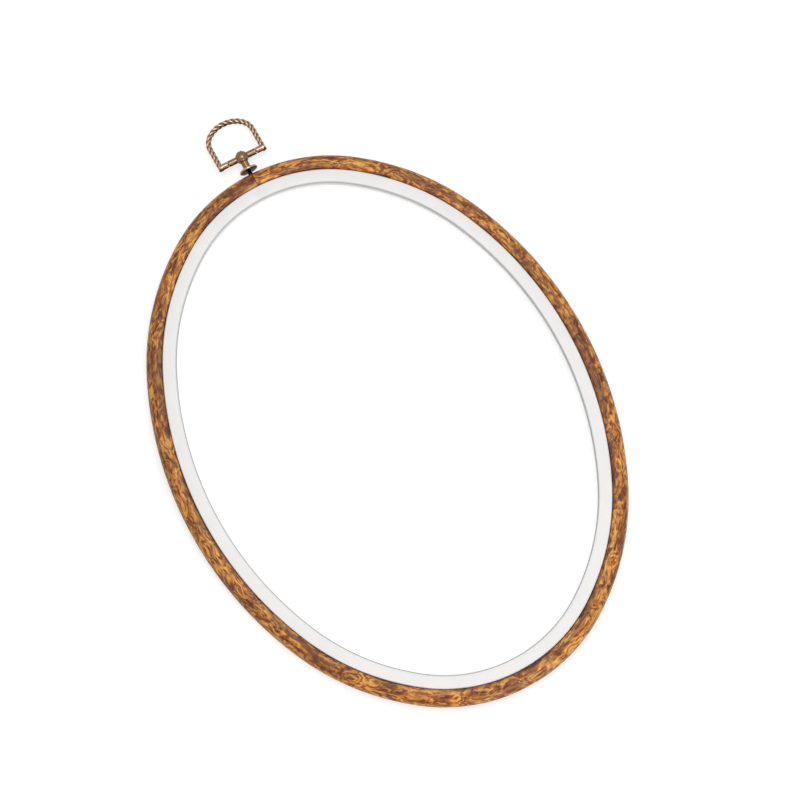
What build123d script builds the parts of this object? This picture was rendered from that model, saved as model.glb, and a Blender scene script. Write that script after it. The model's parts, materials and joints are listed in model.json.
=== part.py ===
from build123d import *

import os
from math import asin, atan2, cos, degrees, hypot, pi, sin

# Oval embroidery hoop: a flexible imitation-wood ring that grips a rigid white ring, with a
# rope-twist hanging bail on a swivel at one end of the oval. Millimetres. The hoop lies on its
# back on the XY plane, its long axis along Y with the hanger at +Y, and its front faces +Z.
# The origin is the centre of the oval on the back plane.

# Outer ring: a split length of soft vinyl with a D section
hoop_length = 246.0
hoop_width = 184.0
vinyl_width = 6.7
vinyl_depth = 9.0
vinyl_edge_bevel = 1.2
vinyl_flat = 1.7
butt_seam = 0.16

# Inner ring: rigid moulded plastic. Its front face turns inwards from an outer wall, and the wall
# has a lip at the back that the outer ring sits on.
white_width = 5.9
white_depth = 9.3
white_face_depth = 3.6
white_wall = 2.3
white_inner_edge_rise = 0.9
white_inner_bevel_share = 0.3
white_outer_edge_bevel = 0.5
lip_reach = 2.6
lip_thickness = 0.9

# The room for the fabric between the rings, and the outer ring's seat on the lip
fabric_gap = 0.3
seat_clearance = 0.05

# The oval is drawn with arcs of three radii. Each is a true ellipse's radius at that place, eased
# by one of these shares of the way to the next one.
end_easing_share = 0.073
shoulder_easing_share = 0.03
side_easing_share = 0.097

# Joining pin: hidden in the two ends of the outer ring, and tapped for the hanger
joiner_diameter = 3.4
joiner_length = 22.0
joiner_clearance = 0.05

# Hanger stud: threaded stem, flange, and the headed post that the tee turns on
stem_diameter = 2.1
stem_clearance = 0.05
stem_tip_chamfer = 0.3
stem_shows = 1.65
stem_length = 4.8
flange_diameter = 8.0
flange_thickness = 1.0
flange_edge_chamfer = 0.3
post_diameter = 1.5
post_head_diameter = 2.5
post_head_thickness = 0.5

# Swivel tee: neck, ball and two arms
neck_diameter = 3.2
ball_diameter = 5.6
ball_rise = 5.5
arm_diameter = 2.7
arm_end_chamfer = 0.2
turning_clearance = 0.05
end_play = 0.1

# Bail: a three-strand rope twist bent to a D, with a boss on each foot
rope_diameter = 2.4
rope_groove_depth = 0.3
rope_pitch = 7.2
bail_width = 22.3
bail_height = 19.6
leg_height = 10.2
foot_depth = 1.3
boss_diameter = 2.7
boss_length = 2.05
boss_gap = 0.3
strand_count = 3
stations_per_turn = 9
crest_share = 0.42

# Bail pins: pressed into the bosses and free to turn in the arms
pin_diameter = 1.2
pin_in_arm = 2.6
pin_in_boss = 2.4
pin_press_clearance = 0.02

# The bail rests with its top tipped down almost to the table
table_clearance = 0.1

# How far a cut runs past what it cuts
cut_overrun = 1.0

# Places and sizes that follow from the ones above
grip_half_length = hoop_length / 2 - vinyl_width
grip_half_width = hoop_width / 2 - vinyl_width
vinyl_back = lip_thickness + seat_clearance
mid_height = vinyl_back + vinyl_depth / 2
vinyl_middle = vinyl_width / 2
leg_offset = (bail_width - rope_diameter) / 2
bail_reach = bail_height - rope_diameter / 2
arm_reach = bail_width / 2 - rope_diameter - boss_length - boss_gap
droop = degrees(asin((mid_height - rope_diameter / 2 - table_clearance) / bail_reach))

os.makedirs("parts", exist_ok=True)


def finish_piece(piece, name):
    """Names a finished piece and writes it to its own file."""
    piece.label = name
    export_step(piece, f"parts/{name}.step")


# The grip oval, midway between the rings. Its end arcs are centred on the Y axis and its side
# arcs on the X axis, and a shoulder arc in each quarter touches both.
sharpest_radius = grip_half_width**2 / grip_half_length
middle_radius = (grip_half_length * grip_half_width) ** 0.5
flattest_radius = grip_half_length**2 / grip_half_width
end_radius = sharpest_radius + end_easing_share * (middle_radius - sharpest_radius)
shoulder_radius = middle_radius + shoulder_easing_share * (flattest_radius - middle_radius)
side_radius = flattest_radius - side_easing_share * (flattest_radius - middle_radius)
end_centre = grip_half_length - end_radius
side_centre = grip_half_width - side_radius
centres_apart = hypot(end_centre, side_centre)
side_to_shoulder = side_radius - shoulder_radius
end_to_shoulder = shoulder_radius - end_radius
along = (centres_apart**2 + side_to_shoulder**2 - end_to_shoulder**2) / (2 * centres_apart)
aside = (side_to_shoulder**2 - along**2) ** 0.5
shoulder_x = side_centre + (aside * end_centre - along * side_centre) / centres_apart
shoulder_y = (along * end_centre + aside * side_centre) / centres_apart
end_angle = degrees(atan2(end_centre - shoulder_y, -shoulder_x))
side_angle = degrees(atan2(shoulder_y, shoulder_x - side_centre))
with BuildLine() as quarter_oval:
    CenterArc((0, end_centre), end_radius, 90, end_angle - 90)
    CenterArc((shoulder_x, shoulder_y), shoulder_radius, end_angle, side_angle - end_angle)
    CenterArc((side_centre, 0), side_radius, side_angle, -side_angle)
grip_line = quarter_oval.wire()

# Ring sections stand at the hanger end of that oval, with x pointing outwards and y up
section_plane = Plane(origin=(0, grip_half_length, 0), x_dir=(0, 1, 0), z_dir=(1, 0, 0))
stem_plane = Plane(origin=(0, hoop_length / 2, mid_height), x_dir=(1, 0, 0), z_dir=(0, 1, 0))
stem_tip_plane = stem_plane.offset(-stem_length)

# Joining pin: a short straight rod across the butt seam, with a tapped hole across its middle.
# It lies halfway between the middle of the vinyl at the seam and at its own ends.
joiner_bow = joiner_length**2 / (8 * (end_radius + vinyl_middle))
joiner_plane = Plane(
    origin=(0, grip_half_length + vinyl_middle - joiner_bow / 2, mid_height),
    x_dir=(0, 1, 0),
    z_dir=(1, 0, 0),
)
with BuildPart() as end_joiner:
    with BuildSketch(joiner_plane):
        Circle(joiner_diameter / 2)
    extrude(amount=joiner_length / 2, both=True)
    with BuildSketch(stem_plane.offset(-vinyl_middle - joiner_diameter)):
        Circle(stem_diameter / 2 + stem_clearance)
    extrude(amount=joiner_diameter * 2, mode=Mode.SUBTRACT)
finish_piece(end_joiner.part, "end_joiner")

# Outer ring: a D section with a flat inner side. Its ends butt together at the hanger.
inner_side = fabric_gap / 2
flat_start = inner_side + vinyl_edge_bevel
flat_end = flat_start + vinyl_flat
vinyl_front = vinyl_back + vinyl_depth
with BuildPart() as outer_ring:
    with BuildSketch(section_plane):
        with BuildLine():
            Polyline(
                (flat_end, vinyl_back),
                (flat_start, vinyl_back),
                (inner_side, vinyl_back + vinyl_edge_bevel),
                (inner_side, vinyl_front - vinyl_edge_bevel),
                (flat_start, vinyl_front),
                (flat_end, vinyl_front),
            )
            ThreePointArc((flat_end, vinyl_front), (vinyl_width, mid_height), (flat_end, vinyl_back))
        make_face()
    sweep(path=grip_line)
    mirror(about=Plane.XZ)
    mirror(about=Plane.YZ)
    with BuildSketch(stem_plane.offset(cut_overrun)):
        Rectangle(butt_seam, vinyl_depth + cut_overrun)
    extrude(amount=-vinyl_width - cut_overrun * 2, mode=Mode.SUBTRACT)
    with BuildSketch(stem_plane.offset(cut_overrun)):
        Circle(stem_diameter / 2 + stem_clearance)
    extrude(amount=-vinyl_middle - cut_overrun, mode=Mode.SUBTRACT)
    with BuildSketch(joiner_plane):
        Circle(joiner_diameter / 2 + joiner_clearance)
    extrude(amount=joiner_length / 2 + joiner_clearance, both=True, mode=Mode.SUBTRACT)
finish_piece(outer_ring.part, "outer_ring")

# Inner ring: the front face's inner edge is eased by two bevels and its outer edge by one. Behind
# the face the ring is open inside its wall, as a moulding is.
white_outside = -fabric_gap / 2
white_inside = white_outside - white_width
wall_inside = white_outside - white_wall
face_back = white_depth - white_face_depth
lip_outside = white_outside + lip_reach
inner_bevel = white_inner_edge_rise * white_inner_bevel_share
with BuildPart() as inner_ring:
    with BuildSketch(section_plane):
        with BuildLine():
            Polyline(
                (wall_inside, 0),
                (lip_outside, 0),
                (lip_outside, lip_thickness),
                (white_outside, lip_thickness),
                (white_outside, white_depth - white_outer_edge_bevel),
                (white_outside - white_outer_edge_bevel, white_depth),
                (white_inside + white_inner_edge_rise, white_depth),
                (white_inside + inner_bevel, white_depth - inner_bevel),
                (white_inside, white_depth - white_inner_edge_rise),
                (white_inside, face_back),
                (wall_inside, face_back),
                close=True,
            )
        make_face()
    sweep(path=grip_line)
    mirror(about=Plane.XZ)
    mirror(about=Plane.YZ)
finish_piece(inner_ring.part, "inner_ring")

# Hanger stud: stem, flange and post are one turned piece, and the post's head is closed over
# the floor of the recess in the ball
flange_plane = stem_plane.offset(stem_shows)
tee_foot_plane = flange_plane.offset(flange_thickness + end_play)
ball_plane = tee_foot_plane.offset(ball_rise)
recess_rise = ball_diameter / 2 - post_head_thickness - end_play
head_rise = flange_thickness + end_play + ball_rise + recess_rise + end_play
with BuildPart() as hanger_stud:
    with BuildSketch(stem_tip_plane):
        Circle(stem_diameter / 2)
    extrude(amount=stem_length + stem_shows)
    chamfer(hanger_stud.edges().group_by(Axis.Y)[0], stem_tip_chamfer)
    with BuildSketch(flange_plane):
        Circle(flange_diameter / 2)
    extrude(amount=flange_thickness)
    flange_rims = hanger_stud.edges().filter_by(GeomType.CIRCLE).group_by(SortBy.RADIUS)[-1]
    chamfer(flange_rims, flange_edge_chamfer)
    with BuildSketch(flange_plane):
        Circle(post_diameter / 2)
    extrude(amount=head_rise)
    with BuildSketch(flange_plane.offset(head_rise)):
        Circle(post_head_diameter / 2)
    extrude(amount=post_head_thickness)
finish_piece(hanger_stud.part, "hanger_stud")

# Swivel tee: neck, ball and arms, bored for the post and for the two bail pins
right_end_plane = Plane(origin=ball_plane.origin, x_dir=(0, 1, 0), z_dir=(1, 0, 0)).offset(arm_reach)
left_end_plane = Plane(origin=ball_plane.origin, x_dir=(0, 1, 0), z_dir=(-1, 0, 0)).offset(arm_reach)
with BuildPart() as swivel_tee:
    with BuildSketch(tee_foot_plane):
        Circle(neck_diameter / 2)
    extrude(amount=ball_rise)
    with BuildSketch(left_end_plane):
        Circle(arm_diameter / 2)
    extrude(amount=-arm_reach * 2)
    chamfer(swivel_tee.edges().group_by(Axis.X)[0], arm_end_chamfer)
    chamfer(swivel_tee.edges().group_by(Axis.X)[-1], arm_end_chamfer)
    with Locations(ball_plane.origin):
        Sphere(ball_diameter / 2, rotation=(90, 0, 0))
    with BuildSketch(tee_foot_plane):
        Circle(post_diameter / 2 + turning_clearance)
    extrude(amount=ball_rise + ball_diameter, mode=Mode.SUBTRACT)
    with BuildSketch(ball_plane.offset(recess_rise)):
        Circle(post_head_diameter / 2 + turning_clearance)
    extrude(amount=ball_diameter, mode=Mode.SUBTRACT)
    for arm_end in (left_end_plane, right_end_plane):
        with BuildSketch(arm_end):
            Circle(pin_diameter / 2 + turning_clearance)
        extrude(amount=-pin_in_arm - end_play, mode=Mode.SUBTRACT)
finish_piece(swivel_tee.part, "swivel_tee")

# Bail: the rope twist runs up one leg, over a half-oval arch and down the other leg
bail_plane = Plane(origin=ball_plane.origin, x_dir=(1, 0, 0), z_dir=(0, 0, 1)).rotated((-droop, 0, 0))
with BuildLine(bail_plane) as rope_line:
    Line((-leg_offset, -foot_depth), (-leg_offset, leg_height))
    EllipticalCenterArc((0, leg_height), leg_offset, bail_reach - leg_height, 180, arc_size=-180)
    Line((leg_offset, leg_height), (leg_offset, -foot_depth))
rope_path = rope_line.wire()
foot_plane = Plane(origin=rope_path @ 0, z_dir=rope_path % 0)
rope_turns = rope_path.length / rope_pitch
station_count = round(rope_turns * stations_per_turn)

# Across the rope, each strand shows a rounded crest between two grooves. The outline is the
# same at every station along the rope, turned one step further each time.
strand_angle = 2 * pi / strand_count
rope_outline = []
for strand in range(strand_count):
    for share, radius in (
        (-1 / 2, rope_diameter / 2 - rope_groove_depth),
        (-crest_share / 2, rope_diameter / 2),
        (crest_share / 2, rope_diameter / 2),
    ):
        rope_outline.append((radius, (strand + share) * strand_angle))


def rope_station(travel):
    """The rope's outline, as points in space, at a share of the way along the rope."""
    heading = rope_path % travel
    turn = 2 * pi * rope_turns * travel
    towards = bail_plane.z_dir * cos(turn) + heading.cross(bail_plane.z_dir) * sin(turn)
    station_plane = Plane(origin=rope_path @ travel, x_dir=towards, z_dir=heading)
    return [
        station_plane.from_local_coords(Vector(radius * cos(angle), radius * sin(angle)))
        for radius, angle in rope_outline
    ]


stations = [rope_station(number / station_count) for number in range(station_count + 1)]
rope_faces = [Face(Wire.make_polygon(stations[0])), Face(Wire.make_polygon(stations[-1]))]
for here, there in zip(stations, stations[1:]):
    for corner in range(len(rope_outline)):
        following = (corner + 1) % len(rope_outline)
        if (here[corner] - there[following]).length < (here[following] - there[corner]).length:
            first, second = (here[following], there[following]), (there[following], there[corner])
            pivot = here[corner]
        else:
            first, second = (here[corner], there[corner]), (there[corner], there[following])
            pivot = here[following]
        for pair in (first, second):
            rope_faces.append(Face(Wire.make_polygon([pivot, *pair])))

with BuildPart() as bail:
    add(Solid(Shell(rope_faces)))
    for arm_end in (left_end_plane, right_end_plane):
        with BuildSketch(arm_end.offset(boss_gap)):
            Circle(boss_diameter / 2)
        extrude(amount=boss_length + rope_diameter)
    split(bisect_by=foot_plane, keep=Keep.TOP)
    for arm_end in (left_end_plane, right_end_plane):
        with BuildSketch(arm_end.offset(boss_gap)):
            Circle(pin_diameter / 2 + pin_press_clearance)
        extrude(amount=pin_in_boss + end_play, mode=Mode.SUBTRACT)
finish_piece(bail.part, "bail")

# Bail pins
for side, arm_end in (("left", left_end_plane), ("right", right_end_plane)):
    with BuildPart() as bail_pin:
        with BuildSketch(arm_end.offset(-pin_in_arm)):
            Circle(pin_diameter / 2)
        extrude(amount=pin_in_arm + boss_gap + pin_in_boss)
    finish_piece(bail_pin.part, f"bail_pin_{side}")
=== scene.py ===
import json
from math import asin, atan2, ceil, cos, hypot, pi, radians, sin

import bmesh
import bpy
from bpy.props import FloatProperty, IntProperty, PointerProperty, StringProperty
from mathutils import Matrix, Vector, kdtree


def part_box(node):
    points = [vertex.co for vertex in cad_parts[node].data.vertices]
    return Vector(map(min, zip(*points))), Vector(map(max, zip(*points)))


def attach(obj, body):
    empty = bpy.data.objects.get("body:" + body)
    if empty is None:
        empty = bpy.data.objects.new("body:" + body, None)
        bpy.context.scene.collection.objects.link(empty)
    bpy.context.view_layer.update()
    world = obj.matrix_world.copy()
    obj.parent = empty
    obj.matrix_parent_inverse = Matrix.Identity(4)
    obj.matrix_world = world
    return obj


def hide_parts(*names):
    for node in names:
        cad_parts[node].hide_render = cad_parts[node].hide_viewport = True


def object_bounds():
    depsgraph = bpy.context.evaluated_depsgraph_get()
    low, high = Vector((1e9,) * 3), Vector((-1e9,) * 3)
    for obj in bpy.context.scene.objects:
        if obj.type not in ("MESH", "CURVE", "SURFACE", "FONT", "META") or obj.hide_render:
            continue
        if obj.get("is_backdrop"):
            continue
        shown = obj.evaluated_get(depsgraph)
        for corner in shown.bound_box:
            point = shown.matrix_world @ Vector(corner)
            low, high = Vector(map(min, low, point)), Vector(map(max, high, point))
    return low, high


# Finishes and fine forms for an oval embroidery hoop: a vinyl ring printed as burl wood, a white
# moulded ring inside it, and an antique bronze hanger with a rope-twist bail. All lengths are in
# metres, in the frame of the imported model: the hoop lies on its back, the hanger at +Y.
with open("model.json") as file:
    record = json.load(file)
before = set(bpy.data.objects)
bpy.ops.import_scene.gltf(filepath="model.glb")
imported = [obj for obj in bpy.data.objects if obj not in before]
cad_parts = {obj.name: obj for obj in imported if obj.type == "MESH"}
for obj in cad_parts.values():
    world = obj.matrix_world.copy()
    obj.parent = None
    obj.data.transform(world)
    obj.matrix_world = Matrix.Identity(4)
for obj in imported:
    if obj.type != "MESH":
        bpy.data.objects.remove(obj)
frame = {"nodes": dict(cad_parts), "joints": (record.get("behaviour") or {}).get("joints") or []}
cad_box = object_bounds()

bl_info = {
    "name": "Embroidery Hoop",
    "version": (1, 0, 0),
    "blender": (4, 5, 0),
    "location": "View3D > Sidebar > Hoop",
    "description": "Builds the rings and the hanger of an oval flexible embroidery hoop",
    "category": "Object",
}

MM = 0.001
X_AXIS, Y_AXIS, Z_AXIS = Vector((1, 0, 0)), Vector((0, 1, 0)), Vector((0, 0, 1))
RING_STEP = radians(1.2)  # between two sections of a ring
TURNED_STEP = radians(5)  # between two sections of a turned piece
ROPE_STEP = radians(9)  # of twist, between two sections of the rope
ROUNDING = 1e-6  # of a step
STRAND_POINTS = 14  # round one strand of the rope
ROD_SIDES = 48
END_PLAY = 0.1 * MM  # of the tee along its post
TURNING = 0.05 * MM  # clearance round whatever turns
PIN_IN_ARM = 2.7 * MM  # the depths of a pin's two bores
PIN_IN_BAIL = 2.5 * MM
TABLE_CLEARANCE = 0.1 * MM  # under the bail
TOUCHING = 0.001 * MM  # points nearer than this are one
MERGED = 0.002 * MM  # the same, in a finished piece
FLAT_LEFT = 0.05 * MM  # between two roundings that all but meet
TRIM = 0.01 * MM  # cut off the bail's feet
CAST_GRAIN = 0.085 * MM  # voxel of a cast skin
ROPE_SPOTS = 500  # places along the rope where its twist is known
WEAR = {"flange": 0.8, "tee": 0.45, "boss": 0.6, "crest": 0.85}  # share of the oxide rubbed off
IMAGE_WIDTH = 800  # pixels
SENSOR_WIDTH = 36.0  # of the camera, in millimetres
FLOOR_HALF = 3.0  # from its middle to a side
FLOOR_DROP = 0.02 * MM  # so that the floor and the hoop's back don't share a plane
WORLD_LIGHT = 0.42  # on the hoop; the background is seen at 1

# Places that everything else is measured from
vinyl_low, vinyl_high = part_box("outer_ring")
_, white_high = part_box("inner_ring")
joints = {joint["name"]: joint for joint in frame["joints"]}
ball_centre = Vector(joints["bail_hinge"]["pos_m"])
mid_height = ball_centre.z


class VinylRingSettings(bpy.types.PropertyGroup):
    """The soft outer ring and its print."""

    width: FloatProperty(name="Width", description="Width of the band", default=6.7 * MM, unit="LENGTH")
    corner: FloatProperty(
        name="Inner corner", description="Radius of the two inner corners",
        default=1.2 * MM, unit="LENGTH",
    )
    fabric_gap: FloatProperty(
        name="Fabric gap", description="Room for the fabric between the rings",
        default=0.3 * MM, unit="LENGTH",
    )
    seam: FloatProperty(
        name="Butt seam", description="Gap between its ends", default=0.16 * MM, unit="LENGTH"
    )
    figure: FloatProperty(
        name="Burl eyes", description="Usual size of an eye in the burl print",
        default=6.5 * MM, unit="LENGTH",
    )
    grain: FloatProperty(
        name="Grain", description="Spacing of the printed grain lines", default=1.3 * MM, unit="LENGTH"
    )
    pores: FloatProperty(
        name="Pores", description="Length of a printed pore", default=0.9 * MM, unit="LENGTH"
    )
    shadow_hex: StringProperty(name="Darkest", description="Colour of knots and pores", default="#431C10")
    brown_hex: StringProperty(name="Brown", description="Colour of the dark figure", default="#743619")
    amber_hex: StringProperty(name="Amber", description="Main colour of the print", default="#B9682C")
    gold_hex: StringProperty(name="Gold", description="Colour of the light figure", default="#F6B656")
    plum_hex: StringProperty(
        name="Plum", description="Cool brown of the smoky patches", default="#54261B"
    )


class WhiteRingSettings(bpy.types.PropertyGroup):
    """The rigid inner ring."""

    width: FloatProperty(
        name="Width", description="Width of its front face", default=5.9 * MM, unit="LENGTH"
    )
    face_depth: FloatProperty(
        name="Face depth", description="Thickness of its front face", default=3.6 * MM, unit="LENGTH"
    )
    wall: FloatProperty(
        name="Wall", description="Thickness of its outer wall", default=2.3 * MM, unit="LENGTH"
    )
    lip_reach: FloatProperty(
        name="Lip reach", description="How far the back lip reaches out", default=2.6 * MM, unit="LENGTH"
    )
    lip_thickness: FloatProperty(
        name="Lip thickness", description="Thickness of the back lip", default=0.9 * MM, unit="LENGTH"
    )
    inner_edge: FloatProperty(
        name="Inner edge", description="Radius of the front inner edge", default=0.9 * MM, unit="LENGTH"
    )
    outer_edge: FloatProperty(
        name="Outer edge", description="Radius of the front outer edge", default=0.5 * MM, unit="LENGTH"
    )
    small_edge: FloatProperty(
        name="Small edges", description="Radius of the other edges", default=0.2 * MM, unit="LENGTH"
    )
    colour_hex: StringProperty(
        name="Colour", description="Colour of the white plastic", default="#EDEBE9"
    )
    cool_hex: StringProperty(name="Cool", description="Its colour in the ripples", default="#E9E8E7")
    # The rim colour is a painted shade along the rounding of the inner rim
    rim_hex: StringProperty(name="Rim", description="Its colour along the inner rim", default="#86898A")
    ripple: FloatProperty(
        name="Ripple", description="Size of the flow ripple left by moulding",
        default=9 * MM, unit="LENGTH",
    )


class HangerSettings(bpy.types.PropertyGroup):
    """The stud, the swivel tee and the bail."""

    stem: FloatProperty(
        name="Stem", description="Diameter of the threaded stem", default=2.1 * MM, unit="LENGTH"
    )
    stem_shows: FloatProperty(
        name="Stem shows", description="Stem between the ring and the flange",
        default=1.65 * MM, unit="LENGTH",
    )
    stem_length: FloatProperty(
        name="Stem length", description="Stem inside the ring", default=4.8 * MM, unit="LENGTH"
    )
    thread_pitch: FloatProperty(
        name="Thread", description="Pitch of the thread", default=0.45 * MM, unit="LENGTH"
    )
    flange: FloatProperty(
        name="Flange", description="Diameter of the flange", default=8.0 * MM, unit="LENGTH"
    )
    flange_thickness: FloatProperty(
        name="Flange thickness", description="Thickness of the flange", default=1.0 * MM, unit="LENGTH"
    )
    post: FloatProperty(name="Post", description="Diameter of the post", default=1.5 * MM, unit="LENGTH")
    post_head: FloatProperty(
        name="Post head", description="Diameter of the closed-over head", default=2.5 * MM, unit="LENGTH"
    )
    head_thickness: FloatProperty(
        name="Head thickness", description="Thickness of that head", default=0.5 * MM, unit="LENGTH"
    )
    neck: FloatProperty(name="Neck", description="Diameter of the neck", default=3.2 * MM, unit="LENGTH")
    ball: FloatProperty(name="Ball", description="Diameter of the ball", default=5.6 * MM, unit="LENGTH")
    ball_rise: FloatProperty(
        name="Ball rise", description="Height of the ball over the neck's foot",
        default=5.5 * MM, unit="LENGTH",
    )
    arm: FloatProperty(name="Arm", description="Diameter of the arms", default=2.7 * MM, unit="LENGTH")
    boss_length: FloatProperty(
        name="Boss", description="Length of the boss inside each foot", default=2.05 * MM, unit="LENGTH"
    )
    boss_gap: FloatProperty(
        name="Boss gap", description="Gap between an arm and its boss", default=0.3 * MM, unit="LENGTH"
    )
    pin: FloatProperty(
        name="Pin", description="Diameter of the bail pins", default=1.2 * MM, unit="LENGTH"
    )
    rope: FloatProperty(
        name="Rope", description="Diameter of the rope twist", default=2.4 * MM, unit="LENGTH"
    )
    rope_groove: FloatProperty(
        name="Groove", description="Depth of the grooves in the rope", default=0.34 * MM, unit="LENGTH"
    )
    rope_pitch: FloatProperty(
        name="Rope pitch", description="Length of one turn of the rope", default=7.2 * MM, unit="LENGTH"
    )
    strands: IntProperty(name="Strands", description="Strands in the rope", default=3, min=2)
    leg_height: FloatProperty(
        name="Leg height", description="Straight leg above the pins", default=10.2 * MM, unit="LENGTH"
    )
    foot_depth: FloatProperty(
        name="Foot depth", description="Leg below the pins", default=1.3 * MM, unit="LENGTH"
    )
    bail_height: FloatProperty(
        name="Bail height", description="Height of the bail over the pins",
        default=19.6 * MM, unit="LENGTH",
    )
    edge: FloatProperty(
        name="Edge", description="Usual rounding of a cast edge", default=0.12 * MM, unit="LENGTH"
    )
    worn_hex: StringProperty(name="Worn", description="Plating where it is rubbed", default="#BC9E85")
    bronze_hex: StringProperty(name="Bronze", description="Plating on open faces", default="#84684C")
    patina_hex: StringProperty(name="Patina", description="Dark oxide in the recesses", default="#1E1610")


class StageSettings(bpy.types.PropertyGroup):
    """The camera, the floor and the lamps."""

    distance: FloatProperty(
        name="Distance", description="From the camera to the hoop's middle", default=2.0, unit="LENGTH"
    )
    scale: FloatProperty(
        name="Scale", description="Pixels a millimetre at the hoop, 800 across", default=2.4228
    )
    tilt: FloatProperty(
        name="Tilt", description="Tilt of the hoop's lower end to the camera",
        default=radians(14.1), subtype="ANGLE",
    )
    side_tilt: FloatProperty(
        name="Side tilt", description="Tilt of its right side to the camera",
        default=radians(0.1), subtype="ANGLE",
    )
    roll: FloatProperty(
        name="Roll", description="Turn of the hanger from straight up",
        default=radians(27.56), subtype="ANGLE",
    )
    aside: FloatProperty(
        name="Aside", description="How far right of the middle the hoop lies",
        default=-5.5 * MM, unit="LENGTH",
    )
    lower: FloatProperty(
        name="Lower", description="How far below the middle the hoop lies",
        default=11.4 * MM, unit="LENGTH",
    )
    floor_hex: StringProperty(name="Floor", description="Colour of the floor", default="#C4C4C4")


SETTINGS = {
    "hoop_vinyl": VinylRingSettings,
    "hoop_white": WhiteRingSettings,
    "hoop_hanger": HangerSettings,
    "hoop_stage": StageSettings,
}


def linear(hex_colour):
    """An sRGB hex colour as the linear colour that the nodes take."""
    levels = [int(hex_colour[place : place + 2], 16) / 255 for place in (1, 3, 5)]
    straight = [
        level / 12.92 if level <= 0.04045 else ((level + 0.055) / 1.055) ** 2.4 for level in levels
    ]
    return (*straight, 1.0)


def colours(settings, *names):
    """A PropertyGroup's named colours, as linear colours."""
    return [linear(getattr(settings, name + "_hex")) for name in names]


def connect(tree, node, *links):
    """Links a node's inputs or gives them values. A link is (input, socket or value)."""
    for socket, value in links:
        if isinstance(value, bpy.types.NodeSocket):
            tree.links.new(value, node.inputs[socket])
        else:
            node.inputs[socket].default_value = value


def add(tree, kind, *links, stops=(), **settings):
    """Adds a node with its settings and links. A ramp's stops are (place, colour)."""
    node = tree.nodes.new(kind)
    for name, value in settings.items():
        setattr(node, name, value)
    connect(tree, node, *links)
    if stops:
        elements = node.color_ramp.elements
        for place, colour in stops:
            elements.new(place).color = colour
        # The two that a new ramp has stand outside these
        elements.remove(elements[0])
        elements.remove(elements[-1])
    return node


def lay_over(tree, colour, *layers):
    """Lays colours over a first one. A layer is (value, where none, where full, full share, colour)."""
    for value, none, full, share, over in layers:
        mask = add(tree, "ShaderNodeMapRange", (0, value), (1, none), (2, full), (4, share)).outputs[0]
        colour = add(tree, "ShaderNodeMix", (0, mask), (6, colour), (7, over), data_type="RGBA").outputs[2]
    return colour


def new_material(name):
    """An empty material with a Principled surface, as (material, tree, surface node)."""
    material = bpy.data.materials.new(name)
    material.use_nodes = True
    tree = material.node_tree
    return material, tree, tree.nodes["Principled BSDF"]


# The oval that both rings follow, midway between them. Its end arcs are centred on the Y axis and
# its side arcs on the X axis, and a shoulder arc in each quarter touches both.
class Oval:
    """A quarter of the oval as three arcs, and places along the whole of it."""

    end_easing_share = 0.073
    shoulder_easing_share = 0.03
    side_easing_share = 0.097

    def __init__(self, half_length, half_width):
        sharpest = half_width**2 / half_length
        middle = (half_length * half_width) ** 0.5
        flattest = half_length**2 / half_width
        end = sharpest + self.end_easing_share * (middle - sharpest)
        shoulder = middle + self.shoulder_easing_share * (flattest - middle)
        side = flattest - self.side_easing_share * (flattest - middle)
        end_y = half_length - end
        side_x = half_width - side
        apart = hypot(end_y, side_x)
        along = (apart**2 + (side - shoulder) ** 2 - (shoulder - end) ** 2) / (2 * apart)
        aside = ((side - shoulder) ** 2 - along**2) ** 0.5
        shoulder_x = side_x + (aside * end_y - along * side_x) / apart
        shoulder_y = (along * end_y + aside * side_x) / apart
        end_angle = atan2(end_y - shoulder_y, -shoulder_x)
        side_angle = atan2(shoulder_y, shoulder_x - side_x)
        self.arcs = (
            (Vector((0, end_y, 0)), end, pi / 2, end_angle),
            (Vector((shoulder_x, shoulder_y, 0)), shoulder, end_angle, side_angle),
            (Vector((side_x, 0, 0)), side, side_angle, 0.0),
        )
        self.quarter = sum(radius * (start - stop) for _, radius, start, stop in self.arcs)

    def turns(self, gap=0.0):
        """The arcs clockwise from the hanger, as (centre, angle). A gap shortens the first and last."""
        mirrors = ((1, 1, False), (1, -1, True), (-1, -1, False), (-1, 1, True))
        for x_side, y_side, backwards in mirrors:
            for centre, radius, start, stop in reversed(self.arcs) if backwards else self.arcs:
                angle = start - stop
                if start == pi / 2 and y_side == 1:
                    angle -= gap / 2 / radius
                yield Vector((centre.x * x_side, centre.y * y_side, 0)), angle

    def place(self, point):
        """A point as (distance along the ring, distance outwards from the oval, height)."""
        corner = Vector((abs(point.x), abs(point.y), 0))
        travel = 0.0
        for centre, radius, start, stop in self.arcs:
            spoke = corner - centre
            angle = atan2(spoke.y, spoke.x)
            if angle >= stop:
                break
            travel += radius * (start - stop)
        travel += radius * (start - angle)
        if point.y < 0:
            travel = 2 * self.quarter - travel
        if point.x < 0:
            travel = 4 * self.quarter - travel
        return travel, spoke.length - radius, point.z


def new_object(name, data):
    """A new object in the scene."""
    made = bpy.data.objects.new(name, data)
    bpy.context.scene.collection.objects.link(made)
    return made


def mesh_object(name, bm):
    """A new object with a bmesh's shape. The bmesh goes."""
    mesh = bpy.data.meshes.new(name)
    bm.to_mesh(mesh)
    bm.free()
    return new_object(name, mesh)


def finish_piece(bm, name, material, body, slot, *replaced, smooth_angle=40):
    """Makes a piece's object from its bmesh, gives it its finish and sets it on its body."""
    bmesh.ops.remove_doubles(bm, verts=bm.verts, dist=MERGED)
    bmesh.ops.recalc_face_normals(bm, faces=bm.faces)
    piece = mesh_object(name, bm)
    piece.data.shade_smooth()
    piece.data.set_sharp_from_angle(angle=radians(smooth_angle))
    piece.data.materials.append(material)
    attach(piece, body)
    if replaced:
        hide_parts(*replaced)
    return piece


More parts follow.
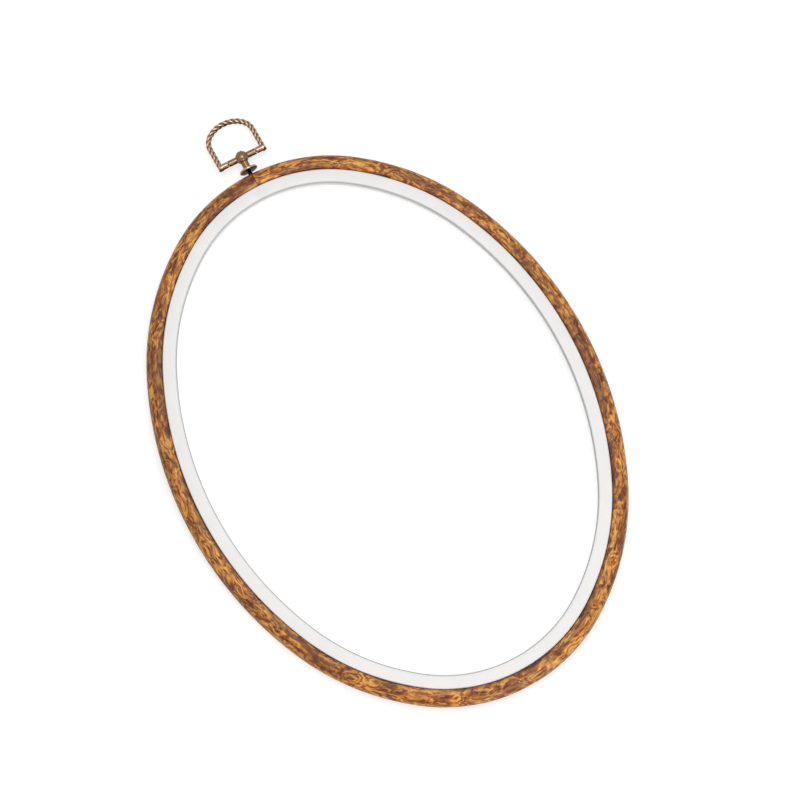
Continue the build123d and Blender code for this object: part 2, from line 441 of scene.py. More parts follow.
def section_face(bm, corners, plane):
    """A section's flat face. Corners are (across, up, radius, segments), and a radius rounds one."""
    verts = [bm.verts.new(plane @ Vector((across, up, 0))) for across, up, _, _ in corners]
    bm.faces.new(verts)
    for vert, (_, _, radius, segments) in zip(verts, corners):
        if radius:
            rounding = {"offset": radius, "offset_type": "OFFSET", "segments": segments, "profile": 0.5}
            bmesh.ops.bevel(bm, geom=[vert], affect="VERTICES", material=-1, **rounding)


def spin_on(bm, section, centre, axis, angle, step_angle, once_round=False, advance=Vector()):
    """Spins a section about an axis in even steps, and gives back its last copy."""
    steps = ceil(abs(angle) / step_angle - ROUNDING)
    motion = {"cent": centre, "axis": axis, "angle": angle, "dvec": advance / steps, "steps": steps}
    spun = bmesh.ops.spin(bm, geom=section, use_merge=once_round, use_duplicate=False, **motion)
    return spun["geom_last"]


def spin_section(bm, corners, plane, centre, axis):
    """A turned form: its section's outline spun once round an axis."""
    section_face(bm, corners, plane)
    bmesh.ops.delete(bm, geom=bm.faces[:], context="FACES_ONLY")
    # An edge that lies on the axis would only make a line, so it is left out
    on_axis = [
        edge
        for edge in bm.edges
        if all((vert.co - centre).cross(axis).length < TOUCHING for vert in edge.verts)
    ]
    bmesh.ops.delete(bm, geom=on_axis, context="EDGES")
    spin_on(bm, bm.verts[:] + bm.edges[:], centre, axis, 2 * pi, TURNED_STEP, once_round=True)
    bmesh.ops.remove_doubles(bm, verts=bm.verts, dist=TOUCHING)


# Soft PVC, extruded and wrapped in a printed film: a satin lacquer over a picture of burl wood.
# The print gives golden curls and eyes among brown flakes, drawn out along the ring.
def burl_vinyl(settings):
    material, tree, surface = new_material("printed_burl_vinyl")
    place = add(tree, "ShaderNodeAttribute", attribute_name="ring_place").outputs["Vector"]
    figure, grain, pores = settings.figure, settings.grain, settings.pores
    # The figure is drawn out along the ring, and pushed about by slow and quick eddies
    drawn_out, long_drawn = (
        add(tree, "ShaderNodeMapping", ("Vector", place), ("Scale", (along, 1.0, 1.0))).outputs[0]
        for along in (0.55, 0.12)
    )
    swirled = drawn_out
    for size, push in ((figure, figure * 0.9), (figure * 0.4, figure * 0.32)):
        sway = add(tree, "ShaderNodeTexNoise", ("Vector", swirled), ("Scale", 1 / size), ("Detail", 2.0))
        moves = ((0, sway.outputs["Color"]), (1, (push, push, push)), (2, swirled))
        swirled = add(tree, "ShaderNodeVectorMath", *moves, operation="MULTIPLY_ADD").outputs[0]
    with_grain = add(tree, "ShaderNodeMapping", ("Vector", swirled), ("Scale", (0.4, 1.0, 1.0))).outputs[0]
    # Patches lean to gold, brown or a smoky plum, long streaks run along the ring, and quick flecks
    # and pores break up the lines
    rough = (("Detail", 3.0), ("Roughness", 0.6))
    streaks, patches, smoke, wander, flecks = (
        add(tree, "ShaderNodeTexNoise", ("Vector", where), ("Scale", 1 / size), *rough).outputs["Fac"]
        for where, size in (
            (long_drawn, figure * 0.7),
            (drawn_out, figure * 0.55),
            (swirled, figure * 0.8),
            (swirled, grain * 2.9),
            (with_grain, pores),
        )
    )
    # Each eye is a cell, and the grain lines are its contour lines, made to wander
    cell = (("Vector", swirled), ("Scale", 1 / figure), ("Smoothness", 0.6))
    eyes = add(tree, "ShaderNodeTexVoronoi", *cell, feature="SMOOTH_F1").outputs["Distance"]
    contour = add(tree, "ShaderNodeMath", (0, eyes), (1, 2 * pi * figure / grain), operation="MULTIPLY")
    winding = ((0, wander), (1, 4.8 * pi), (2, contour.outputs[0]))
    angle = add(tree, "ShaderNodeMath", *winding, operation="MULTIPLY_ADD")
    line = add(tree, "ShaderNodeMath", (0, angle.outputs[0]), operation="SINE").outputs[0]
    # Printed streaks, made denser towards the inner edge; that bias is a painted shade along the joint with
    # the white ring
    outwards = add(tree, "ShaderNodeSeparateXYZ", (0, place)).outputs["Y"]
    lean = ((0, outwards), (1, -0.12 / settings.width), (2, streaks))
    streaks_and_inner_shade = add(tree, "ShaderNodeMath", *lean, operation="MULTIPLY_ADD").outputs[0]
    # Curls are brightest out of the smoky patches, and creases darkest in them
    curl_share, crease_share = (
        add(tree, "ShaderNodeMapRange", (0, smoke), (1, low), (2, high), (3, least), (4, most)).outputs[0]
        for low, high, least, most in ((0.62, 0.42, 0.1, 0.8), (0.40, 0.60, 0.4, 0.8))
    )
    shadow, brown, amber, gold, plum = colours(settings, "shadow", "brown", "amber", "gold", "plum")
    stops = ((0.30, brown), (0.47, amber), (0.56, amber), (0.72, gold))
    colour = lay_over(
        tree,
        add(tree, "ShaderNodeValToRGB", (0, patches), stops=stops).outputs[0],
        (line, -0.1, 1.0, curl_share, gold),
        (line, 0.1, -1.0, crease_share, shadow),
        (smoke, 0.48, 0.70, 0.6, plum),
        (eyes, 0.20, 0.05, 0.6, shadow),
        (flecks, 0.51, 0.68, 0.7, shadow),
        (flecks, 0.48, 0.34, 0.75, gold),
        (streaks_and_inner_shade, 0.43, 0.53, 0.65, plum),
    )
    satin = ((0, flecks), (1, 0.3), (2, 0.7), (3, 0.36), (4, 0.48))
    gloss = add(tree, "ShaderNodeMapRange", *satin).outputs[0]
    # The film is lightly embossed along its printed pores
    bump = add(tree, "ShaderNodeBump", ("Height", flecks), ("Strength", 0.35), ("Distance", 0.04 * MM))
    film = (("Base Color", colour), ("Roughness", gloss), ("Specular IOR Level", 0.3))
    connect(tree, surface, *film, ("Normal", bump.outputs[0]))
    return material


# Polypropylene, injection moulded: a clean slightly grey white with a satin skin, a very low
# ripple where the plastic flowed round the mould, and a thin painted grey shade along its inner rim's
# rounding.
def moulded_white(settings):
    material, tree, surface = new_material("moulded_white_polypropylene")
    place = add(tree, "ShaderNodeAttribute", attribute_name="ring_place").outputs["Vector"]
    _, outwards, height = add(tree, "ShaderNodeSeparateXYZ", (0, place)).outputs
    # The skin's orange peel is finer than a pixel, so it is drawn coarser
    peel_size = 0.6 * MM
    soft = ("Detail", 2.0)
    ripple, peel = (
        add(tree, "ShaderNodeTexNoise", ("Vector", place), ("Scale", 1 / size), soft).outputs["Fac"]
        for size in (settings.ripple, peel_size)
    )
    white, cool, rim_shade = colours(settings, "colour", "cool", "rim")
    # The painted rim shade keeps to the rim's rounding, so the wall under it is white again
    rim, rim_foot = -settings.width, white_high.z - settings.inner_edge
    layers = (
        (ripple, 0.65, 0.35, 1.0, cool),
        (outwards, rim + 0.6 * MM, rim + 0.1 * MM, 0.62, rim_shade),
        (height, rim_foot, rim_foot - 0.3 * MM, 0.9, white),
    )
    satin = ((0, peel), (1, 0.3), (2, 0.7), (3, 0.36), (4, 0.46))
    bump = add(tree, "ShaderNodeBump", ("Height", peel), ("Strength", 0.2), ("Distance", 0.02 * MM))
    wave = (("Height", ripple), ("Strength", 0.5), ("Distance", 0.12 * MM), ("Normal", bump.outputs[0]))
    connect(
        tree,
        surface,
        ("Base Color", lay_over(tree, white, *layers)),
        ("Roughness", add(tree, "ShaderNodeMapRange", *satin).outputs[0]),
        ("IOR", 1.49),
        ("Subsurface Weight", 0.08),
        ("Subsurface Radius", (1.0, 0.9, 0.8)),
        ("Subsurface Scale", 1.5 * MM),
        ("Normal", add(tree, "ShaderNodeBump", *wave).outputs[0]),
    )
    return material


# Die-cast zinc, plated bronze and blackened, then rubbed back: the dark oxide stays in the rope's
# grooves and in corners, crests are rubbed to a pale pinkish tan, and faces towards the ring get the oxide
# colour as painted shade.
def antique_bronze(settings):
    material, tree, surface = new_material("antique_bronze_plate")
    place = add(tree, "ShaderNodeTexCoord").outputs["Object"]
    wear_and_shade = add(tree, "ShaderNodeAttribute", attribute_name="wear_and_shade").outputs["Fac"]
    # The plating's blotches, and the marks of its rubbing, which are drawn coarse enough to show
    blotch_size, rubbing_size = 1.1 * MM, 0.25 * MM
    rough = (("Detail", 3.0), ("Roughness", 0.6))
    blotches, rubbing = (
        add(tree, "ShaderNodeTexNoise", ("Vector", place), ("Scale", 1 / size), *rough).outputs["Fac"]
        for size in (blotch_size, rubbing_size)
    )
    patchy = ((0, blotches), (1, 0.4), (2, wear_and_shade))
    rubbed = add(tree, "ShaderNodeMath", *patchy, operation="MULTIPLY_ADD").outputs[0]
    corners = ("Distance", 0.8 * MM)
    shelter = add(tree, "ShaderNodeAmbientOcclusion", corners, samples=8, only_local=True).outputs["AO"]
    worn, bronze, patina = colours(settings, "worn", "bronze", "patina")
    stops = ((0.2, patina), (0.5, bronze), (0.68, bronze), (0.98, worn))
    plate = add(tree, "ShaderNodeValToRGB", (0, rubbed), stops=stops).outputs[0]
    colour = lay_over(tree, plate, (rubbing, 0.52, 0.72, 0.6, patina), (shelter, 0.90, 0.55, 0.8, patina))
    polish = ((0, rubbed), (1, 0.2), (2, 0.9), (3, 0.45), (4, 0.12))
    gloss = add(tree, "ShaderNodeMapRange", *polish).outputs[0]
    bump = add(tree, "ShaderNodeBump", ("Height", rubbing), ("Strength", 0.2), ("Distance", 0.03 * MM))
    metal = (("Base Color", colour), ("Metallic", 1.0), ("Roughness", gloss))
    connect(tree, surface, *metal, ("Normal", bump.outputs[0]))
    return material


# Free-cutting steel, turned and left bare: fine rings round the rod from the tool.
def turned_steel():
    material, tree, surface = new_material("turned_steel")
    place = add(tree, "ShaderNodeTexCoord").outputs["Object"]
    # The tool's marks are about 0.12 mm apart, and are drawn coarser so that they show
    spacing = 0.754 * MM
    one_wave = 2 * pi / 20  # of a wave texture at scale 1
    bands = (("Vector", place), ("Scale", one_wave / spacing), ("Distortion", 0.4))
    marks = add(tree, "ShaderNodeTexWave", *bands).outputs["Fac"]
    colour = lay_over(tree, linear("#8F918F"), (marks, 0.0, 1.0, 1.0, linear("#C2C3C0")))
    connect(tree, surface, ("Base Color", colour), ("Metallic", 1.0), ("Roughness", 0.35))
    return material


def spin_ring(bm, oval, corners, gap=0.0):
    """Spins a section round the oval. A gap leaves it open at the hanger, with its ends capped."""
    start = pi / 2 - gap / 2 / oval.arcs[0][1]
    hub = oval.arcs[0][0]
    # The section's own axes: outwards from the oval, and up
    across = Vector((cos(start), sin(start), 0))
    plane = Matrix((across, Z_AXIS, across.cross(Z_AXIS))).transposed().to_4x4()
    plane.translation = hub + across * oval.arcs[0][1]
    section_face(bm, corners, plane)
    bmesh.ops.delete(bm, geom=bm.faces[:], context="FACES_ONLY")
    first = bm.edges[:]
    section = bm.verts[:] + bm.edges[:]
    for centre, angle in oval.turns(gap):
        section = spin_on(bm, section, centre, Z_AXIS, -angle, RING_STEP)
    if gap:
        last = [part for part in section if isinstance(part, bmesh.types.BMEdge)]
        for rim in (first, last):
            bmesh.ops.contextual_create(bm, geom=rim)
    bmesh.ops.remove_doubles(bm, verts=bm.verts, dist=MERGED)


def mark_ring_places(bm, oval):
    """Stores each vertex's place along, across and up the ring, for patterns that follow it."""
    layer = bm.verts.layers.float_vector.new("ring_place")
    for vert in bm.verts:
        vert[layer] = oval.place(vert.co)


def grip_oval(settings):
    """The oval midway between the rings."""
    half_length = (vinyl_high.y - vinyl_low.y) / 2 - settings.width
    half_width = (vinyl_high.x - vinyl_low.x) / 2 - settings.width
    return Oval(half_length, half_width)


class HOOP_OT_vinyl_ring(bpy.types.Operator):
    """Make the soft outer ring, butted at the hanger and printed as burl wood"""

    bl_idname = "hoop.vinyl_ring"
    bl_label = "Vinyl Ring"

    def execute(self, context):
        settings = context.scene.hoop_vinyl
        oval = grip_oval(settings)
        inside = settings.fabric_gap / 2
        back, front = vinyl_low.z, vinyl_high.z
        round_side = (front - back) / 2 - FLAT_LEFT
        corners = (
            (inside, back, settings.corner, 5),
            (settings.width, back, round_side, 12),
            (settings.width, front, round_side, 12),
            (inside, front, settings.corner, 5),
        )
        bm = bmesh.new()
        spin_ring(bm, oval, corners, settings.seam)
        mark_ring_places(bm, oval)
        finish_piece(bm, "vinyl_ring", burl_vinyl(settings), "outer_hoop", "outer_ring", "outer_ring")
        return {"FINISHED"}


class HOOP_OT_white_ring(bpy.types.Operator):
    """Make the rigid inner ring with its back lip"""

    bl_idname = "hoop.white_ring"
    bl_label = "White Ring"

    def execute(self, context):
        settings = context.scene.hoop_white
        vinyl = context.scene.hoop_vinyl
        oval = grip_oval(vinyl)
        outside = -vinyl.fabric_gap / 2
        inside = outside - settings.width
        lip = outside + settings.lip_reach
        small = settings.small_edge
        wall_inside = outside - settings.wall
        face_back = white_high.z - settings.face_depth
        corners = (
            (wall_inside, 0, small, 3),
            (lip, 0, small, 3),
            (lip, settings.lip_thickness, small, 3),
            (outside, settings.lip_thickness, small, 3),
            (outside, white_high.z, settings.outer_edge, 5),
            (inside, white_high.z, settings.inner_edge, 7),
            (inside, face_back, small, 3),
            (wall_inside, face_back, settings.inner_edge, 4),
        )
        bm = bmesh.new()
        spin_ring(bm, oval, corners)
        mark_ring_places(bm, oval)
        finish_piece(bm, "white_ring", moulded_white(settings), "inner_hoop", "inner_ring", "inner_ring")
        return {"FINISHED"}


def solid_object(bm):
    """A temporary object from a bmesh, for joining and cutting."""
    bmesh.ops.recalc_face_normals(bm, faces=bm.faces)
    return mesh_object("blank", bm)


def modified(blank, *blanks):
    """The bmesh that a temporary object's modifiers leave. The temporary objects go."""
    bpy.context.view_layer.update()
    evaluated = blank.evaluated_get(bpy.context.evaluated_depsgraph_get())
    result = bmesh.new()
    result.from_mesh(evaluated.to_mesh())
    evaluated.to_mesh_clear()
    for done in (blank, *blanks):
        mesh = done.data
        bpy.data.objects.remove(done)
        bpy.data.meshes.remove(mesh)
    return result


def combine(base, joined=(), cut=()):
    """One solid from a base, the solids joined to it and the solids cut from it."""
    blank = solid_object(base)
    others = []
    for operation, solids in (("UNION", joined), ("DIFFERENCE", cut)):
        for solid in solids:
            other = solid_object(solid)
            step = blank.modifiers.new(operation, "BOOLEAN")
            step.operation = operation
            step.solver = "EXACT"
            step.object = other
            others.append(other)
    return modified(blank, *others)


def cast_over(bm, passes):
    """The surface of a solid as a casting gives it: one skin with softened edges and corners."""
    blank = solid_object(bm)
    skin = blank.modifiers.new("skin", "REMESH")
    skin.mode = "VOXEL"
    skin.voxel_size = CAST_GRAIN
    cast = modified(blank)
    every_way = {"use_axis_x": True, "use_axis_y": True, "use_axis_z": True}
    for _ in range(passes):
        bmesh.ops.smooth_vert(cast, verts=cast.verts, factor=0.5, **every_way)
    return cast


def mark_wear_and_shade(bm, settings, wear_at):
    """Stores how far its oxide is rubbed off at each vertex, from 0 to 1, for the bronze, with painted
    shade that keeps faces towards the ring dark.
    """
    bmesh.ops.recalc_face_normals(bm, faces=bm.faces)
    bm.normal_update()
    layer = bm.verts.layers.float.new("wear_and_shade")
    on_ball = settings.ball * 0.52  # a little over its radius
    for vert in bm.verts:
        # Painted shade: faces towards the ring are kept at the dark oxide colour, except on the ball
        reached_and_unshaded = min(max(1.6 + 2 * vert.normal.y, 0.0), 1.0)
        if (vert.co - ball_centre).length < on_ball:
            reached_and_unshaded = 1.0
        vert[layer] = wear_at(vert.co) * reached_and_unshaded


def rod(start, end, radius):
    """A plain round rod between two points."""
    bm = bmesh.new()
    along = end - start
    place = Matrix.Translation((start + end) / 2) @ along.to_track_quat("Z", "Y").to_matrix().to_4x4()
    size = {"radius1": radius, "radius2": radius, "depth": along.length}
    bmesh.ops.create_cone(bm, cap_ends=True, segments=ROD_SIDES, matrix=place, **size)
    return bm


def hanger_places(settings):
    """Heights along the hanger's axis, as Y: the neck's foot, and the flange's top and underside."""
    neck_foot = ball_centre.y - settings.ball_rise
    flange_top = neck_foot - END_PLAY
    return neck_foot, flange_top, flange_top - settings.flange_thickness


def stem_thread(settings, start, end):
    """The stem's thread: a ridge of triangular section wound up the stem."""
    pitch = settings.thread_pitch
    # The root lies a little inside the stem's core
    crest, root = settings.stem / 2, settings.stem / 2 - pitch * 0.6
    bm = bmesh.new()
    verts = [
        bm.verts.new((root, start, mid_height)),
        bm.verts.new((crest, start + pitch * 0.45, mid_height)),
        bm.verts.new((crest, start + pitch * 0.5, mid_height)),
        bm.verts.new((root, start + pitch * 0.95, mid_height)),
    ]
    cap = bm.faces.new(verts)
    rim = cap.edges[:]
    bmesh.ops.delete(bm, geom=[cap], context="FACES_ONLY")
    turns = (end - start) / pitch - 1
    centre = Vector((0, 0, mid_height))
    last = spin_on(
        bm, verts + rim, centre, Y_AXIS, 2 * pi * turns, radians(15), advance=Y_AXIS * pitch * turns
    )
    bmesh.ops.contextual_create(bm, geom=rim)
    bmesh.ops.contextual_create(bm, geom=[part for part in last if isinstance(part, bmesh.types.BMEdge)])
    return bm


class HOOP_OT_hanger_stud(bpy.types.Operator):
    """Make the threaded stem, the flange and the headed post that the tee turns on"""

    bl_idname = "hoop.hanger_stud"
    bl_label = "Hanger Stud"

    def execute(self, context):
        settings = context.scene.hoop_hanger
        bronze = antique_bronze(settings)
        _, flange_top, flange_under = hanger_places(settings)
        tip = flange_under - settings.stem_shows - settings.stem_length
        thread_depth = settings.thread_pitch * 0.55
        core = settings.stem / 2 - thread_depth
        flange, post, head = settings.flange / 2, settings.post / 2, settings.post_head / 2
        head_top = ball_centre.y + settings.ball / 2
        head_under = head_top - settings.head_thickness
        edge = settings.edge
        corners = (
            (0, tip, 0, 0),
            (core, tip, edge * 2, 3),
            (core, flange_under, 0, 0),
            (flange, flange_under, edge * 3.2, 5),
            (flange, flange_top, edge * 3.2, 5),
            (post, flange_top, 0, 0),
            (post, head_under, 0, 0),
            (head, head_under, edge / 2, 2),
            (head, head_top, edge * 1.5, 4),
            (0, head_top, 0, 0),
        )
        centre = Vector((0, 0, mid_height))
        bm = bmesh.new()
        spin_section(bm, corners, Matrix.Translation(centre), centre, Y_AXIS)
        # The stem and the flange's underside are left unrubbed; their dark oxide colour also stands as
        # painted shade under the flange
        mark_wear_and_shade(bm, settings, lambda point: WEAR["flange"] if point.y > flange_under + edge else 0.0)
        finish_piece(bm, "stud", bronze, "outer_hoop", "hanger", "hanger_stud")
        thread = stem_thread(settings, tip + edge * 2, flange_under)
        finish_piece(thread, "stem_thread", bronze, "outer_hoop", "hanger")
        return {"FINISHED"}


class HOOP_OT_swivel_tee(bpy.types.Operator):
    """Make the ball with its neck and two arms, cast in one and bored for the post and the pins"""

    bl_idname = "hoop.swivel_tee"
    bl_label = "Swivel Tee"

    def execute(self, context):
        settings = context.scene.hoop_hanger
        bronze = antique_bronze(settings)
        neck_foot, _, _ = hanger_places(settings)
        foot = Vector((0, neck_foot, mid_height))
        ball, arm = settings.ball / 2, settings.arm / 2
        reach = arm_reach(settings)
        bm = bmesh.new()
        bmesh.ops.create_uvsphere(
            bm, u_segments=72, v_segments=36, radius=ball, matrix=Matrix.Translation(ball_centre)
        )
        neck = rod(foot, ball_centre, settings.neck / 2)
        arms = rod(ball_centre - X_AXIS * reach, ball_centre + X_AXIS * reach, arm)
        above = ball_centre + Y_AXIS * ball * 1.5
        recess_floor = ball_centre + Y_AXIS * (ball - settings.head_thickness - END_PLAY)
        bores = [
            rod(foot - Y_AXIS * ball, above, settings.post / 2 + TURNING),
            rod(recess_floor, above, settings.post_head / 2 + TURNING),
        ]
        for outwards in (-X_AXIS, X_AXIS):
            mouth = ball_centre + outwards * (reach + ball)
            bottom = ball_centre + outwards * (reach - PIN_IN_ARM)
            bores.append(rod(mouth, bottom, settings.pin / 2 + TURNING))
        solid = combine(bm, joined=(neck, arms), cut=bores)
        skin = cast_over(solid, 3)
        mark_wear_and_shade(skin, settings, lambda point: WEAR["tee"])
        finish_piece(skin, "tee", bronze, "swivel", "hanger", "swivel_tee", smooth_angle=60)
        return {"FINISHED"}


def arm_reach(settings):
    """From the ball's middle to the end of an arm."""
    bail_low, bail_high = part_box("bail")
    return (bail_high.x - bail_low.x) / 2 - settings.rope - settings.boss_length - settings.boss_gap


def rope_line(settings, leg_offset):
    """The rope's middle line in the bail's plane: up a leg, over a half-oval arch and down a leg."""
    reach = settings.bail_height - settings.rope / 2
    rise = reach - settings.leg_height
    steps = 120
    arch = []
    for step in range(steps + 1):
        angle = pi * step / steps
        arch.append(Vector((-leg_offset * cos(angle), settings.leg_height + rise * sin(angle), 0)))
    foot = Vector((0, -settings.foot_depth, 0))
    return [foot - X_AXIS * leg_offset, *arch, foot + X_AXIS * leg_offset]


class Route:
    """Places along a line of close points."""

    def __init__(self, points):
        self.points = points
        self.lengths = [0.0]
        for here, there in zip(points, points[1:]):
            self.lengths.append(self.lengths[-1] + (there - here).length)
        self.length = self.lengths[-1]

    def point(self, travel):
        """The point at a distance along the line, or straight on past its ends."""
        number = 0
        while number < len(self.points) - 2 and self.lengths[number + 1] < travel:
            number += 1
        here, there = self.points[number], self.points[number + 1]
        share = (travel - self.lengths[number]) / (self.lengths[number + 1] - self.lengths[number])
        return here.lerp(there, share)

    def heading(self, travel):
        """The way that the line goes there."""
        step = 0.1 * MM
        return (self.point(travel + step) - self.point(travel - step)).normalized()


def twisted_rope(settings, plane, route):
    """The rope: a lobed section swept and turned along a straight bar, which is then bent to the route."""
    bm = bmesh.new()
    points = settings.strands * STRAND_POINTS
    section = bmesh.ops.create_circle(bm, segments=points, radius=settings.rope / 2)["verts"]
    for vert in section:
        angle = atan2(vert.co.y, vert.co.x)
        valley = 1 - abs(cos(settings.strands * angle / 2))
        vert.co *= 1 - valley * settings.rope_groove / (settings.rope / 2)
    turn = 2 * pi * route.length / settings.rope_pitch
    rim = bm.edges[:]
    last = spin_on(bm, section + rim, Vector(), Z_AXIS, turn, ROPE_STEP, advance=Z_AXIS * route.length)
    bmesh.ops.contextual_create(bm, geom=rim)
    bmesh.ops.contextual_create(bm, geom=[part for part in last if isinstance(part, bmesh.types.BMEdge)])
    for vert in bm.verts:
        travel = vert.co.z
        heading = route.heading(travel)
        aside = heading.cross(Z_AXIS)
        vert.co = plane @ (route.point(travel) + Z_AXIS * vert.co.x + aside * vert.co.y)
    return bm


def rope_wear(settings, plane, route):
    """How far each point of the bail is rubbed, as a function of it: crests most, grooves not at all."""
    spots = kdtree.KDTree(ROPE_SPOTS + 1)
    for number in range(ROPE_SPOTS + 1):
        spots.insert(route.point(route.length * number / ROPE_SPOTS), number)
    spots.balance()
    to_plane = plane.inverted()
    on_rope = settings.rope * 0.56  # a little over its radius

    def wear_at(point):
        local = to_plane @ point
        middle, number, _ = spots.find(local)
        offset = local - middle
        # A boss reaches further from the rope's line than the rope does
        if offset.length > on_rope:
            return WEAR["boss"]
        travel = route.length * number / ROPE_SPOTS
        aside = route.heading(travel).cross(Z_AXIS)
        angle = atan2(offset.dot(aside), offset.z) - 2 * pi * travel / settings.rope_pitch
        return WEAR["crest"] * abs(cos(settings.strands * angle / 2))

    return wear_at


class HOOP_OT_bail(bpy.types.Operator):
    """Make the rope-twist bail with a boss inside each foot"""

    bl_idname = "hoop.bail"
    bl_label = "Bail"

    def execute(self, context):
        settings = context.scene.hoop_hanger
        bronze = antique_bronze(settings)
        bail_low, bail_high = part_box("bail")
        leg_offset = (bail_high.x - bail_low.x) / 2 - settings.rope / 2
        reach = settings.bail_height - settings.rope / 2
        droop = asin((mid_height - settings.rope / 2 - TABLE_CLEARANCE) / reach)
        plane = Matrix.Translation(ball_centre) @ Matrix.Rotation(-droop, 4, "X")
        route = Route(rope_line(settings, leg_offset))
        rope = twisted_rope(settings, plane, route)
        boss_reach = arm_reach(settings) + settings.boss_gap
        bosses, bores = [], []
        for outwards in (-X_AXIS, X_AXIS):
            inner = ball_centre + outwards * boss_reach
            # A boss runs most of the way through the rope
            outer = inner + outwards * (settings.boss_length + settings.rope * 0.8)
            bosses.append(rod(inner, outer, settings.arm / 2))
            mouth, bottom = inner - outwards * settings.boss_gap, inner + outwards * PIN_IN_BAIL
            bores.append(rod(mouth, bottom, settings.pin / 2))
        bm = cast_over(combine(rope, joined=bosses, cut=bores), 1)
        mark_wear_and_shade(bm, settings, rope_wear(settings, plane, route))
        # The feet are cut off flat, square to the legs
        down = plane.to_3x3() @ -Y_AXIS
        foot = ball_centre + down * (settings.foot_depth - TRIM)
        bmesh.ops.bisect_plane(
            bm, geom=bm.verts[:] + bm.edges[:] + bm.faces[:], plane_co=foot, plane_no=down, clear_outer=True
        )
        bmesh.ops.holes_fill(bm, edges=[edge for edge in bm.edges if edge.is_boundary], sides=0)
        finish_piece(bm, "rope_bail", bronze, "bail", "hanger", "bail", smooth_angle=50)
        return {"FINISHED"}


class HOOP_OT_inner_pins(bpy.types.Operator):
    """Give the pins in the bail and the joiner in the ring their finishes"""

    bl_idname = "hoop.inner_pins"
    bl_label = "Inner Pins"

    def execute(self, context):
        bronze = antique_bronze(context.scene.hoop_hanger)
        finishes = {"bail_pin_left": bronze, "bail_pin_right": bronze, "end_joiner": turned_steel()}
        for node, finish in finishes.items():
            materials = frame["nodes"][node].data.materials
            materials.clear()
            materials.append(finish)
        return {"FINISHED"}


def lamp(name, place, size, power):
    """A soft square lamp that points at the hoop's middle."""
    light = bpy.data.lights.new(name, "AREA")
    light.size = size
    light.energy = power
    shown = new_object(name, light)
    shown.location = place
    shown.rotation_euler = (-place).to_track_quat("-Z", "Y").to_euler()


def seen_directly(tree):
    """1 where the camera sees a surface, straight or in a reflection, and 0 for the light it gives."""
    path = add(tree, "ShaderNodeLightPath").outputs
    seen = path["Is Camera Ray"]
    for mirrored in ("Is Glossy Ray", "Is Transmission Ray"):
        seen = add(tree, "ShaderNodeMath", (0, seen), (1, path[mirrored]), operation="MAXIMUM").outputs[0]
    return seen


# Seamless studio paper: matt white, lifted to full white where it is seen, so that only the
# hoop's shadow shows on it.
def studio_paper(settings):
    material, tree, surface = new_material("studio_paper")
    # Away from the lamps it is lifted more, so that it meets the background without a line
    place = add(tree, "ShaderNodeTexCoord").outputs["Object"]
    away = add(tree, "ShaderNodeVectorMath", (0, place), operation="LENGTH").outputs["Value"]
    share = add(tree, "ShaderNodeMapRange", (0, away), (1, 0.4), (2, 2.0), (3, 0.62), (4, 0.9)).outputs[0]
    seen = seen_directly(tree)
    lift = add(tree, "ShaderNodeMath", (0, seen), (1, share), operation="MULTIPLY").outputs[0]
    matt = (("Base Color", linear(settings.floor_hex)), ("Roughness", 0.9), ("Specular IOR Level", 0.0))
    connect(tree, surface, *matt, ("Emission Color", (1, 1, 1, 1)), ("Emission Strength", lift))
    return material


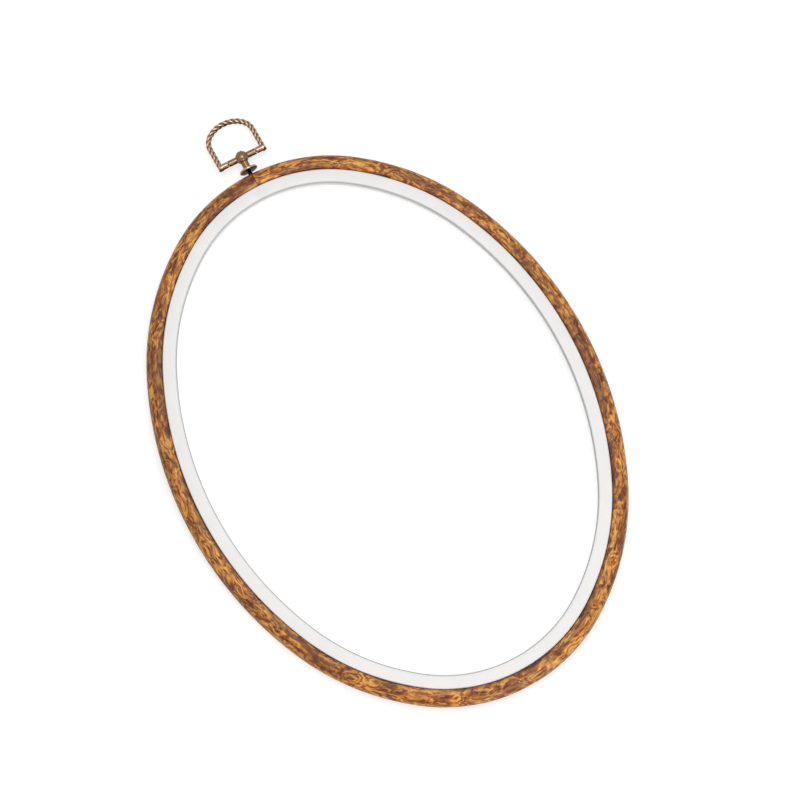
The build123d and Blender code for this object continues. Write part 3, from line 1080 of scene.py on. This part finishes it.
class HOOP_OT_stage(bpy.types.Operator):
    """Set the camera, the floor and the lamps"""

    bl_idname = "hoop.stage"
    bl_label = "Stage"

    def execute(self, context):
        settings = context.scene.hoop_stage
        scene = context.scene
        bm = bmesh.new()
        bmesh.ops.create_grid(bm, size=FLOOR_HALF, matrix=Matrix.Translation((0, 0, -FLOOR_DROP)))
        floor = mesh_object("floor", bm)
        floor.data.materials.append(studio_paper(settings))
        floor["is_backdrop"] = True

        view = bpy.data.cameras.new("camera")
        view.sensor_width = SENSOR_WIDTH
        view.lens = settings.scale / MM * settings.distance * SENSOR_WIDTH / IMAGE_WIDTH
        view.clip_start, view.clip_end = 0.05, 20
        camera = new_object("camera", view)
        # The hoop as the camera has it: turned in its plane, tipped, and set off the middle
        seen = (
            Matrix.Translation((settings.aside, -settings.lower, -settings.distance))
            @ Matrix.Rotation(-settings.side_tilt, 4, "Y")
            @ Matrix.Rotation(-settings.tilt, 4, "X")
            @ Matrix.Rotation(settings.roll, 4, "Z")
            @ Matrix.Translation((0, 0, -mid_height))
        )
        camera.matrix_world = seen.inverted()
        scene.camera = camera

        lamp("overhead", Vector((0.05, 0.1, 1.0)), size=0.7, power=4.7)
        lamp("low", Vector((0.2, -1.33, 0.55)), size=0.4, power=8.0)

        world = bpy.data.worlds.new("studio")
        scene.world = world
        world.use_nodes = True
        tree = world.node_tree
        seen_share = seen_directly(tree)
        strength = add(tree, "ShaderNodeMapRange", (0, seen_share), (3, WORLD_LIGHT)).outputs[0]
        connect(tree, tree.nodes["Background"], ("Color", (1, 1, 1, 1)), ("Strength", strength))
        scene.view_settings.view_transform = "Standard"
        return {"FINISHED"}


class HOOP_PT_panel(bpy.types.Panel):
    """The hoop's steps and sizes"""

    bl_label = "Embroidery Hoop"
    bl_idname = "HOOP_PT_panel"
    bl_space_type = "VIEW_3D"
    bl_region_type = "UI"
    bl_category = "Hoop"

    def draw(self, context):
        for group, settings_class in SETTINGS.items():
            box = self.layout.box()
            for name in settings_class.__annotations__:
                box.prop(getattr(context.scene, group), name)
        for operator in OPERATORS:
            self.layout.operator(operator.bl_idname)


OPERATORS = (
    HOOP_OT_stage,
    HOOP_OT_vinyl_ring,
    HOOP_OT_white_ring,
    HOOP_OT_hanger_stud,
    HOOP_OT_swivel_tee,
    HOOP_OT_bail,
    HOOP_OT_inner_pins,
)
CLASSES = (*SETTINGS.values(), *OPERATORS, HOOP_PT_panel)


def register():
    for made in CLASSES:
        bpy.utils.register_class(made)
    for group, settings_class in SETTINGS.items():
        setattr(bpy.types.Scene, group, PointerProperty(type=settings_class))


def unregister():
    for group in SETTINGS:
        delattr(bpy.types.Scene, group)
    for made in reversed(CLASSES):
        bpy.utils.unregister_class(made)


def main():
    register()
    bpy.ops.hoop.stage()
    bpy.ops.hoop.vinyl_ring()
    bpy.ops.hoop.white_ring()
    bpy.ops.hoop.hanger_stud()
    bpy.ops.hoop.swivel_tee()
    bpy.ops.hoop.bail()
    bpy.ops.hoop.inner_pins()
    visual_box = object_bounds()
    boxes = {"cad": cad_box, "visual": visual_box}
    {name: [list(corner) for corner in box] for name, box in boxes.items()}


if __name__ == "__main__":
    main()
